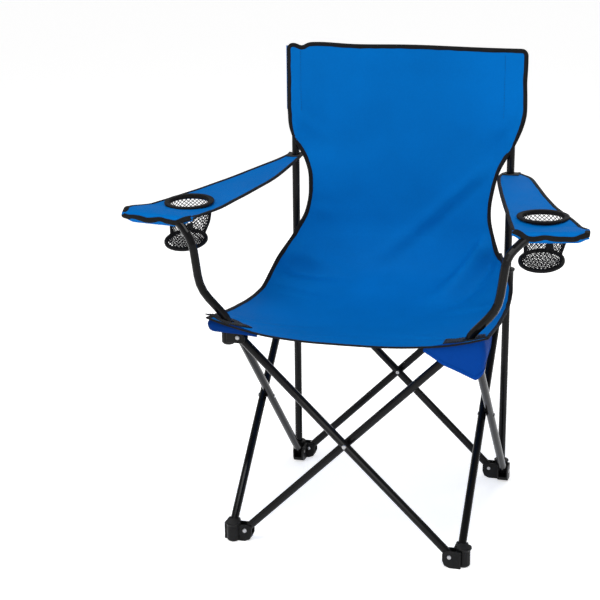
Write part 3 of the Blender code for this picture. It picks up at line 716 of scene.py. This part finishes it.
# ---- sleeves behind the back, round the tops of the uprights ----
SLEEVE_R = 0.0096
SLEEVE_WING = 0.0135  # half width over the two flanges sewn to the back
SLEEVE_TOP = BACK_TOP - 0.003
SLEEVE_CLOSE = 0.7895  # above this the sleeve closes over the upright's end
SLEEVE_Y = 0.1923  # the flanges lie here, behind the back
SLEEVE_FACE = 0.1922  # and its depth is measured from here
FLANGE = 0.15  # share of the section that each flange takes
FLANGE_RISE = 0.0022
SEAM_X = 0.1865


def sleeve(side, name):
    rows, cols = 26, 19
    grid = np.zeros((rows, cols, 3))
    for i, z in enumerate(np.linspace(SLEEVE_LOW, SLEEVE_TOP, rows)):
        close = max(0.0, (z - SLEEVE_CLOSE) / (SLEEVE_TOP - SLEEVE_CLOSE))
        bulge = SLEEVE_R * (1 + 0.05 * math.sin(z * 160 + side)) * math.sqrt(max(0.0, 1 - close ** 2))
        for j, t in enumerate(np.linspace(0, 1, cols)):
            if t < FLANGE or t > 1 - FLANGE:
                wing = (FLANGE - t if t < FLANGE else t - (1 - FLANGE)) / FLANGE
                x = (SLEEVE_R + (SLEEVE_WING - SLEEVE_R) * wing) * (-1 if t < 0.5 else 1)
                y = 0.0 if wing > 0.5 else FLANGE_RISE * (1 - wing * 2)
            else:
                angle = math.pi * (t - FLANGE) / (1 - 2 * FLANGE)
                x = -math.cos(angle) * SLEEVE_R
                y = FLANGE_RISE + math.sin(angle) ** 0.85 * (CORNER + bulge - SLEEVE_FACE - FLANGE_RISE)
            y = SLEEVE_Y + y * math.sqrt(max(0.02, 1 - close ** 2)) + SHIFT_Y
            grid[i, j] = (side * CORNER + x, y, z)
    return panel(name, grid, "cloth", 0.0011)


sleeves = [soft(sleeve(side, "back_sleeve_" + hand), "rear_%s_foot" % hand)
           for side, hand in SIDES]


def back_seam(name, x, first, last):
    """Stitches down the front of the back, between two rows."""
    points, normals = [], []
    for i in range(first, last + 1):
        j = np.interp(x, GRID[i, :, 0], np.arange(COLUMNS))
        low, share = int(j), j - int(j)
        high = min(low + 1, RIGHT)
        normal = unit(NORMALS[i, low] * (1 - share) + NORMALS[i, high] * share)
        points.append(GRID[i, low] * (1 - share) + GRID[i, high] * share + normal * CLOTH / 2)
        normals.append(normal)
    return on_cloth(stitches(name, np.array(points), np.array(normals), "thread_blue"), "back")


sleeve_row = int(np.argmin(np.abs(GRID[:BACK_END, MIDDLE, 2] - SLEEVE_LOW)))
back_seams = [back_seam("back_seam_" + hand, side * SEAM_X, 6, sleeve_row) for side, hand in SIDES]


# ---- armrests ----
# Inner X, outer X, Y, Z, from the rear.
ARM_KEYS = {
    "left": (
        (0.1890, 0.2150, 0.2120, 0.5990),
        (0.1885, 0.2300, 0.1600, 0.5940),
        (0.1970, 0.2720, 0.0700, 0.5815),
        (0.2170, 0.3150, -0.0250, 0.5715),
        (0.2370, 0.3600, -0.1150, 0.5632),
        (0.2540, 0.3830, -0.1790, 0.5605),
    ),
    "right": (
        (0.1850, 0.2170, 0.2120, 0.5800),
        (0.1840, 0.2450, 0.1600, 0.5815),
        (0.2000, 0.2730, 0.0700, 0.5800),
        (0.2220, 0.3070, -0.0250, 0.5750),
        (0.2430, 0.3490, -0.1150, 0.5715),
        (0.2600, 0.3790, -0.1790, 0.5650),
    ),
}
ARM_T = 0.002
ARM_ROWS = 86  # rows of the flat part, in front of which the roll starts
ARM_CROWN = 0.0016  # how far the middle sags below the edges
ARM_REAR = 0.212
# The outer edge rises towards the tip: height, the Y where it starts, and the run it takes.
TIP_RISE = {"left": (0.0080, -0.120, 0.045), "right": (0.0085, -0.146, 0.033)}
ROLL_R = 0.0082
ROLL_ROWS = 14
ROLL_EDGE = 7  # rows from the roll's first to the one that the front binding is sewn to
ROLL_X = {"left": (0.2600, 0.3830), "right": (0.2620, 0.3795)}
ROLL_Y = -0.189
POST_X = 0.285
POST_LINE = {"left": (0.5530, 0.0432), "right": (0.5590, 0.0556)}  # height at POST_X, and slope
ROLL_SWEEP = math.radians(205)
PINCH_X = 0.362  # outside this the roll closes to a tip
PINCH_LIFT = 0.002
MOUTH_X = 0.287  # inside this the roll opens for the post, which enters there
MOUTH_LIFT = 0.6  # share of its radius by which the roll's inner end shrinks and rises
MOUTH_OPEN = 0.75  # how much its sweep opens with that
CUP_TOP = {"left": 0.567, "right": 0.573}
CUP_DEPTH = {"left": 0.066, "right": 0.071}
CUP_SKEW = {"left": -0.008, "right": 0.0}  # how far the base hangs to one side
CUP_X, CUP_Y = 0.298, -0.104
CUP_TILT = {"left": math.atan(0.1), "right": math.atan(0.035)}
HOLE_R = 0.0352
POLE_GAP = 0.0004  # round the upright, where the armrest is cut for it
ARM_COLUMNS = 29


def cup_middle(side, hand, level=0.0):
    """The middle of the cup at a level: 0 at the top ring and 1 at the bottom ring."""
    hang = Vector((CUP_SKEW[hand] * level, 0, -CUP_DEPTH[hand] * level))
    return Vector((side * CUP_X, CUP_Y + SHIFT_Y, CUP_TOP[hand])) + hang


def arm_grid(hand):
    keys = ARM_KEYS[hand]
    tip, tip_y, tip_run = TIP_RISE[hand]
    at = np.linspace(0, len(keys) - 1, ARM_ROWS)
    t = np.linspace(0, 1, ARM_COLUMNS)
    rows = []
    for inner, outer, y, z in catmull(keys, at):
        rise = tip * min(1.0, max(0.0, (tip_y - y) / tip_run))
        x = inner + (outer - inner) * t
        crown = ARM_CROWN * (1 - (2 * t - 1) ** 2) * min(1.0, (ARM_REAR - y) / 0.05)
        rows.append(np.stack([x, np.full_like(x, y), z + rise * t - crown], axis=1))
    height, slope = POST_LINE[hand]
    low, high = ROLL_X[hand]
    x = low + (high - low) * t
    pinch = smooth(x, PINCH_X, high)
    mouth = MOUTH_LIFT * smooth(x, MOUTH_X, low)
    radius = ROLL_R * (1 - 0.5 * pinch - mouth)
    for k in range(1, ROLL_ROWS + 1):
        angle = math.pi / 2 - ROLL_SWEEP * (1 - MOUTH_OPEN * mouth) * k / ROLL_ROWS
        z = height + (x - POST_X) * slope + PINCH_LIFT * pinch + ROLL_R * mouth
        rows.append(np.stack([x, ROLL_Y - radius * np.cos(angle), z + radius * np.sin(angle)], axis=1))
    return np.array(rows)


def mirror(grid, side):
    """A grid drawn for the right side, put on its own side of the chair."""
    out = grid.copy()
    out[..., 0] *= side
    out[..., 1] += SHIFT_Y
    return out


def settle(obj):
    """Turn the modifiers into plain geometry."""
    graph = bpy.context.evaluated_depsgraph_get()
    graph.update()
    mesh = bpy.data.meshes.new_from_object(obj.evaluated_get(graph), depsgraph=graph)
    obj.modifiers.clear()
    obj.data = mesh


def bore(obj, centre, axis, radius, length, sides=32):
    """Cut a round hole along the axis."""
    work = bmesh.new()
    bmesh.ops.create_cone(work, cap_ends=True, segments=sides, radius1=radius, radius2=radius, depth=length)
    turn = Vector(Z_AXIS).rotation_difference(Vector(axis)).to_matrix().to_4x4()
    work.transform(Matrix.Translation(Vector(centre)) @ turn)
    mesh = bpy.data.meshes.new("rod")
    work.to_mesh(mesh)
    work.free()
    cutter = add("rod", mesh)
    mod = obj.modifiers.new("cut", "BOOLEAN")
    mod.operation = "DIFFERENCE"
    mod.solver = "EXACT"
    mod.object = cutter
    settle(obj)
    bpy.data.objects.remove(cutter)


def torus(name, centre, radius, tilt, wide, high):
    """A closed tape ring, flat in its own plane."""
    count = 72
    lean = Matrix.Rotation(tilt, 4, "X")
    points = []
    for k in range(count):
        a = math.tau * k / count
        points.append(Vector(centre) + lean @ Vector((math.cos(a) * radius, math.sin(a) * radius, 0)))
    points = np.array([tuple(p) for p in points])
    inward = np.asarray(centre, float) - points
    return band(name, points, inward, half_width=wide, half_thick=high, closed=True, overlap=wide, sides=12)


COLLAR_X = (0.188, 0.2165)
COLLAR_Y = (0.2135, 0.187)  # rear and front
COLLAR_STAND = 0.0022  # above the armrest's cloth
COLLAR_CREASE = 0.0005


def arm_collar(side, hand, arm):
    """Webbing sewn over the armrest's rear end, round the upright."""
    middle = arm[:, ARM_COLUMNS // 2]
    y, x = np.meshgrid(np.linspace(*COLLAR_Y, 13), np.linspace(*COLLAR_X, 13), indexing="ij")
    height = np.interp(-y, -middle[:, 1], middle[:, 2]) + COLLAR_STAND
    grid = np.stack([side * x, y, height + COLLAR_CREASE * np.sin(x * 300 + y * 170)], axis=2)
    made = panel("armrest_collar_" + hand, grid, "webbing", 0.0018)
    pole = (side * CORNER, CORNER + SHIFT_Y, grid[6, 6, 2])
    bore(made, pole, Z_AXIS, TUBE_R + POLE_GAP, 0.05)
    return made


ARM_NOISE = (0.0012, 16.0, 3.3)  # height, scale and seed of the armrests' unevenness
REAR_HOLD, ROLL_HOLD = 0.2, 0.3  # share of it left at the rear end and at the roll
ARM_INSET = 6  # columns or rows from an edge to the cloth that its binding faces
FRONT_Y, FRONT_RUN = -0.172, 0.01  # here the binding begins to waver and widen, towards the front
FRONT_WAVE = 0.0036
ARM_TAPE, FRONT_TAPE = 0.0034, 0.0012  # half width, and what the front adds to it
HOLE_TAPE = (0.0046, 0.0019)  # half width and half thickness round the cup's hole


def arm_binding(name, grid, side):
    """A closed binding round the armrest, with its front on the roll."""
    edge_row = ARM_ROWS + ROLL_EDGE
    flat_part = grid[:edge_row + 1]
    inner, outer = flat_part[::-1, 0], flat_part[:, -1]
    rear, front = grid[0, 1:-1], grid[edge_row, -2:0:-1]
    loop = np.concatenate([inner, rear, outer, front])
    inward = unit(np.concatenate([
        flat_part[::-1, ARM_INSET] - inner,
        grid[ARM_INSET, 1:-1] - rear,
        flat_part[:, -1 - ARM_INSET] - outer,
        grid[edge_row - 2, -2:0:-1] - front]))
    for _ in range(3):  # ease the corners
        inward = unit(np.roll(inward, 1, 0) + inward + np.roll(inward, -1, 0))
        loop = (np.roll(loop, 1, 0) + 2 * loop + np.roll(loop, -1, 0)) / 4
    near_front = np.clip((FRONT_Y - loop[:, 1]) / FRONT_RUN, 0, 1)
    wave = wobble(loop, 42.0, 1.7 + side)
    loop = loop + np.outer(wave * near_front * FRONT_WAVE, Z_AXIS)
    wide = ARM_TAPE + FRONT_TAPE * near_front
    keep = spaced(loop, 0.0016)
    return band(name, loop[keep], inward[keep], closed=True, half_width=wide[keep], half_thick=0.0019,
                overlap=0.0014)


def cloth_arm(side, hand):
    grid = mirror(arm_grid(hand), side)
    normals = upward_normals(grid)
    flat = grid_uvs(grid)
    height, scale, seed = ARM_NOISE
    uneven = wobble(grid, scale, side * seed)
    hold = np.ones(grid.shape[0])
    hold[ARM_ROWS - 3:] = ROLL_HOLD
    hold[:6] = REAR_HOLD
    grid = grid + normals * (uneven * height * hold[:, None])[..., None]
    arm = panel("armrest_cloth_" + hand, grid, "cloth", ARM_T, flat, normals=normals)
    cup = cup_middle(side, hand)
    axis = Matrix.Rotation(CUP_TILT[hand], 3, "X") @ Vector(Z_AXIS)
    bore(arm, cup, axis, HOLE_R, 0.03, sides=64)
    pole = (side * CORNER, CORNER + SHIFT_Y, ARM_KEYS[hand][0][3])
    bore(arm, pole, Z_AXIS, TUBE_R + POLE_GAP, 0.06)
    binding = arm_binding("armrest_binding_" + hand, grid, side)
    hole = torus("armrest_hole_ring_" + hand, cup + axis * 0.0012, HOLE_R + 0.0025,
                 CUP_TILT[hand], *HOLE_TAPE)
    for piece in (arm, binding, hole):
        on_hub(piece, side, hand, Y_AXIS)
    collar = arm_collar(side, hand, grid)
    soft(collar, "slider_%s_block" % hand)  # the slider carries it
    return arm, binding, hole, collar


arms = [cloth_arm(*side) for side in SIDES]


# ---- net cup holders ----
CUP_BULGE = (0.003, 0.003, 0)  # the wall of both cups bags this way, most at half its depth
CUP_WAVER = 0.018  # how far the wall is from round, as a share of its radius
CUP_TOP_R = 0.0348
CUP_BASE_R = 0.034
WALL_LEVELS = (0.0, 0.3, 0.55, 0.8, 0.92, 1.0)
WALL_RADII = (CUP_TOP_R, 0.0352, 0.0338, 0.03, 0.0306, CUP_BASE_R)
BASE_TILT = math.radians(15)
YARN = 0.0018
CELLS = 30
NET_ROWS = 20
BASE_MESH = 0.85  # the base net's cells, against the wall's
BASE_SAG = 0.0016
JITTER = 0.0004  # unevenness of the knots
CUP_TAB_LEVEL = 0.76  # the webbing tab reaches from the bottom ring up to here
CUP_TAB_HALF = 0.33  # half its width at the bottom, in radians round the cup
CUP_TAB_TURN = 0.25  # from straight behind the cup, outwards


def cup_place(side, hand, theta, level):
    """A point of the net wall."""
    radius = np.interp(level, WALL_LEVELS, WALL_RADII)
    radius *= 1 + CUP_WAVER * math.sin(3 * theta + side) * math.sin(math.pi * level)
    tilt = CUP_TILT[hand] + (BASE_TILT - CUP_TILT[hand]) * level
    middle = cup_middle(side, hand, level) + Vector(CUP_BULGE) * math.sin(math.pi * level)
    out = Vector((radius * math.cos(theta), radius * math.sin(theta), 0))
    return middle + Matrix.Rotation(tilt, 3, "X") @ out


def net(name, points, quads):
    obj = make(name, points, quads, "yarn", smooth=False)
    wire = obj.modifiers.new("strands", "WIREFRAME")
    wire.thickness = YARN
    wire.use_even_offset = False
    wire.use_boundary = True
    settle(obj)
    obj.data.shade_smooth()
    return obj


def wall_net(side, hand):
    """Knots and diamond cells of the net wall."""
    round_count = 2 * CELLS
    points, index = [], {}
    for i in range(NET_ROWS + 1):
        for j in range(i % 2, round_count, 2):
            jitter = JITTER * noise.noise(Vector((i * 1.7, j * 2.3, side)))
            index[i, j] = len(points)
            place = cup_place(side, hand, math.pi * j / CELLS + jitter * 30, i / NET_ROWS)
            points.append(place + Vector((jitter, 0, jitter)))
    faces = []
    for i in range(1, NET_ROWS):
        for j in range(1 - i % 2, round_count, 2):
            left, right = (j - 1) % round_count, (j + 1) % round_count
            faces.append((index[i - 1, j], index[i, right], index[i + 1, j], index[i, left]))
    return points, faces


def base_net(middle, first):
    """Knots and cells of the cup's base, numbered from first."""
    tilt = Matrix.Rotation(BASE_TILT, 3, "X")
    pitch = math.tau * CUP_BASE_R / CELLS
    reach = int(CUP_BASE_R / pitch) + 2
    points, index, faces = [], {}, []
    for i in range(-reach, reach + 1):
        for j in range(-reach, reach + 1):
            flat = Vector(((i + j) * pitch * 0.5, (i - j) * pitch * 0.5, 0)) * BASE_MESH
            if flat.length < CUP_BASE_R:
                index[i, j] = first + len(points)
                flat.z = -BASE_SAG * (1 - (flat.length / CUP_BASE_R) ** 2)
                points.append(middle + tilt @ flat)
    for i, j in index:
        ring = [(i, j), (i + 1, j), (i + 1, j + 1), (i, j + 1)]
        if all(key in index for key in ring):
            faces.append(tuple(index[key] for key in ring))
    return points, faces


def cup_tab(side, hand):
    """Webbing on the net's rear wall, narrower towards the top."""
    grid = []
    for level in np.linspace(1.0, CUP_TAB_LEVEL, 9):
        half = CUP_TAB_HALF * (1 - 0.55 * (1 - level) / (1 - CUP_TAB_LEVEL))
        around = math.pi / 2 - side * CUP_TAB_TURN + half * np.linspace(-1, 1, 11)
        grid.append([tuple(cup_place(side, hand, theta, level)) for theta in around])
    return panel("cup_tab_" + hand, np.array(grid), "webbing", 0.0016)


def net_cup(side, hand):
    middle = cup_middle(side, hand, 1.0)
    points, faces = wall_net(side, hand)
    more_points, more_faces = base_net(middle, len(points))
    points, faces = points + more_points, faces + more_faces
    used = sorted({k for f in faces for k in f})
    renumber = {k: n for n, k in enumerate(used)}
    faces = [tuple(renumber[k] for k in f) for f in faces]
    wall = net("cup_net_" + hand, [points[k] for k in used], faces)
    top = cup_middle(side, hand) - Vector((0, 0, 0.0018))
    rim = torus("cup_rim_" + hand, top, CUP_TOP_R, CUP_TILT[hand], 0.0018, 0.0024)
    ring = torus("cup_base_ring_" + hand, middle, CUP_BASE_R, BASE_TILT, 0.0034, 0.003)
    tab = cup_tab(side, hand)
    for piece in (wall, rim, ring, tab):
        on_hub(piece, side, hand, Y_AXIS)
    return wall, [rim, ring, tab]


cups = [net_cup(*side) for side in SIDES]


# ---- corner pockets and webbing patches ----
POCKET_FRONT, POCKET_SIDE = 0.2221, 0.227
POCKET_CURVE = 0.01  # radius of the corner
POCKET_BACK = 0.06  # how far it runs back along the side
POCKET_BULGE = 0.0045
POCKET_RIPPLE = 0.0016
POCKET_ROWS = 15
# Inner reach, middle reach, top Z at the inner end, middle and corner, drop at the corner.
POCKETS = {
    "left": (0.0560, 0.0300, 0.3820, 0.3900, 0.3975, 0.0110),
    "right": (0.0680, 0.0350, 0.3795, 0.3880, 0.3965, 0.0580),
}


def pocket(side, hand):
    reach, middle, low_top, middle_top, top, drop = POCKETS[hand]
    # X, Y, top Z and share of the drop, from the inner end round the corner.
    plan = [(CORNER - reach, -POCKET_FRONT, low_top, 0.0),
            (CORNER - middle, -POCKET_FRONT, middle_top, 0.50)]
    for k in range(7):
        angle = math.pi / 2 * k / 6
        x = POCKET_SIDE - POCKET_CURVE * (1 - math.sin(angle))
        y = -POCKET_FRONT + POCKET_CURVE * (1 - math.cos(angle))
        plan.append((x, y, top, 1.0 - 0.04 * k))
    plan.append((POCKET_SIDE, -CORNER + POCKET_BACK, top - 0.0096, 0.0))
    plan = np.array(plan)
    along = running(plan[:, :2])
    at = np.linspace(0, along[-1], 46)
    cols = np.stack([np.interp(at, along, plan[:, k]) for k in range(4)], axis=1)
    grid = np.zeros((POCKET_ROWS, len(cols), 3))
    for i, level in enumerate(np.linspace(0, 1, POCKET_ROWS)):
        for j, (x, y, top, depth) in enumerate(cols):
            bulge = POCKET_BULGE * math.sin(math.pi * min(1.0, level * 1.1)) * depth
            out = Vector((max(0.0, x - (CORNER - 0.02)), min(0.0, y + CORNER - 0.02), 0)).normalized()
            grid[i, j] = (x + out.x * bulge, y + out.y * bulge, top - level * (0.006 + drop * depth))
    grid = mirror(grid, side)
    flat = grid_uvs(grid)
    ripples = wobble(grid, 34.0, side * 5.0)
    free = np.linspace(0.1, 1, POCKET_ROWS)[:, None]
    grid = grid + grid_normals(grid) * (ripples * POCKET_RIPPLE * free)[..., None]
    made = panel("pocket_cloth_" + hand, grid, "pocket_" + hand, 0.0012, flat)
    hem = band("pocket_hem_" + hand, grid[-1], grid[-5] - grid[-1], "pocket_" + hand,
               half_width=0.003, half_thick=0.0013, overlap=0.0008)
    for piece in (made, hem):
        on_hub(piece, side, hand, X_AXIS)
    return made, hem


pockets = [pocket(*side) for side in SIDES]


def drape(x, y):
    """Place on the seat's front half over a plan point, by the nearest grid points."""
    part = GRID[REAR_END:]
    gap = (part[..., 0] - x) ** 2 + (part[..., 1] - y) ** 2
    order = np.argsort(gap, axis=None)[:4]
    weights = 1 / (gap.ravel()[order] + 1e-7)
    weights = weights / weights.sum()
    return (part.reshape(-1, 3)[order] * weights[:, None]).sum(0)


# Corners on the plan: inner rear, outer rear, outer front and inner front.
PATCH = {
    "left": ((0.1600, -0.1960), (0.1996, -0.1760), (0.2400, -0.2000), (0.1936, -0.2250)),
    "right": ((0.1570, -0.1640), (0.2215, -0.1700), (0.2290, -0.2120), (0.1600, -0.2070)),
}
PATCH_T = 0.0018
PATCH_STAND = 0.002  # above the seat's cloth
PATCH_CREASE = 0.0004
POST_GAP = 0.0008
POST_AXIS = (0.4, -0.05, 0.9)  # the arm post's lean where it passes the seat


def webbing_patch(side, hand):
    """Folded webbing sewn round the hole that the arm post comes through."""
    corners = np.array(PATCH[hand])
    rows, cols = 13, 25
    grid = np.zeros((rows, cols, 3))
    for i, v in enumerate(np.linspace(0, 1, rows)):
        for j, u in enumerate(np.linspace(0, 1, cols)):
            rear = corners[0] * (1 - u) + corners[1] * u
            x, y = rear * (1 - v) + (corners[3] * (1 - u) + corners[2] * u) * v
            spot = drape(side * x, y)
            crease = PATCH_CREASE * math.sin(x * 260 + y * 90)
            grid[i, j] = (side * x, y, spot[2] + PATCH_STAND + crease)
    normals = upward_normals(grid)
    made = panel("post_patch_" + hand, grid, "webbing", PATCH_T, normals=normals)
    post = (side * (CORNER + 0.0025), -CORNER - 0.0003 + SHIFT_Y, 0.4)
    lean = (side * POST_AXIS[0], *POST_AXIS[1:])
    bore(made, post, lean, TUBE_R + POST_GAP, 0.05)
    edge, lift = (np.concatenate([a[1, 1:-1], a[1:-1, -2], a[-2, 1:-1][::-1], a[1:-1, 1][::-1]])
                  for a in (grid, normals))
    sewn = stitches("post_patch_stitches_" + hand, edge + lift * PATCH_T / 2, lift, "thread")
    return on_cloth(made, "seat_front"), on_cloth(sewn, "seat_front")


patches = [webbing_patch(*side) for side in SIDES]
TAB_START = (0.199, 0.185, 0.402)  # on the slider
TAB_COLUMN = 2  # where it is sewn: columns from the seat's edge, and rows from its rear
TAB_ROW = 3
TAB_UNDER = 0.0045
TAB_SAG = 0.003
TAB_HALF = 0.008
TAB_CURL = 0.0012  # at the slider its edges curl back


def corner_tab(side, hand):
    """Webbing strap from the slider down to the seat's rear corner, sewn on under the cloth."""
    rows, cols = 15, 9
    column = TAB_COLUMN if side < 0 else RIGHT - TAB_COLUMN
    start = np.array((side * TAB_START[0], *TAB_START[1:]))
    end = GRID[BACK_END + TAB_ROW, column] - NORMALS[BACK_END + TAB_ROW, column] * TAB_UNDER
    grid = np.zeros((rows, cols, 3))
    for i, t in enumerate(np.linspace(0, 1, rows)):
        centre = start * (1 - t) + end * t - np.array((0, 0, TAB_SAG)) * math.sin(math.pi * t)
        for j, u in enumerate(np.linspace(-1, 1, cols)):
            grid[i, j] = centre + np.array((side * TAB_HALF * u, TAB_CURL * u * u * (1 - t), 0.0))
    return on_cloth(panel("seat_corner_tab_" + hand, grid, "webbing", 0.0016), "seat_rear")


tabs = [corner_tab(*side) for side in SIDES]

# ---- floor ----
FLOOR_HALF = 14.0
PAPER = (0.93, 0.93, 0.93)
PAPER_GLOW = 0.58
edge = [(x * FLOOR_HALF, y * FLOOR_HALF, 0) for x, y in ((-1, -1), (1, -1), (1, 1), (-1, 1))]
floor = make("floor", edge, [(0, 1, 2, 3)], "steel", smooth=False)
ground = Shader("floor_paper", PAPER, 0.85, Specular_IOR_Level=0.15, Emission_Color=(1, 1, 1, 1),
                Emission_Strength=PAPER_GLOW)
ground.feed("Base Color", ground.ramp(ground.noise(3.0, 2.0), (0.92, 0.92, 0.92), (0.94, 0.94, 0.94)))
floor.data.materials.clear()
floor.data.materials.append(ground.mat)

# ---- what rides and stands for what ----
for obj, body, axis, anchor in SOFT:
    obj.data.set_sharp_from_angle(angle=math.radians(58))
    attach(obj, body)
    if axis:
        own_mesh(obj)

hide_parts("back")
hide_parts("seat_rear")
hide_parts("seat_front")

# ---- the CAD armrests, cups and pockets are hidden ----
for (side, hand), (arm, *arm_trim), (wall, cup_trim), (made, hem) in zip(SIDES, arms, cups, pockets):
    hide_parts("armrest_" + hand)
    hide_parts("cup_" + hand)
    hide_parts("pocket_" + hand)
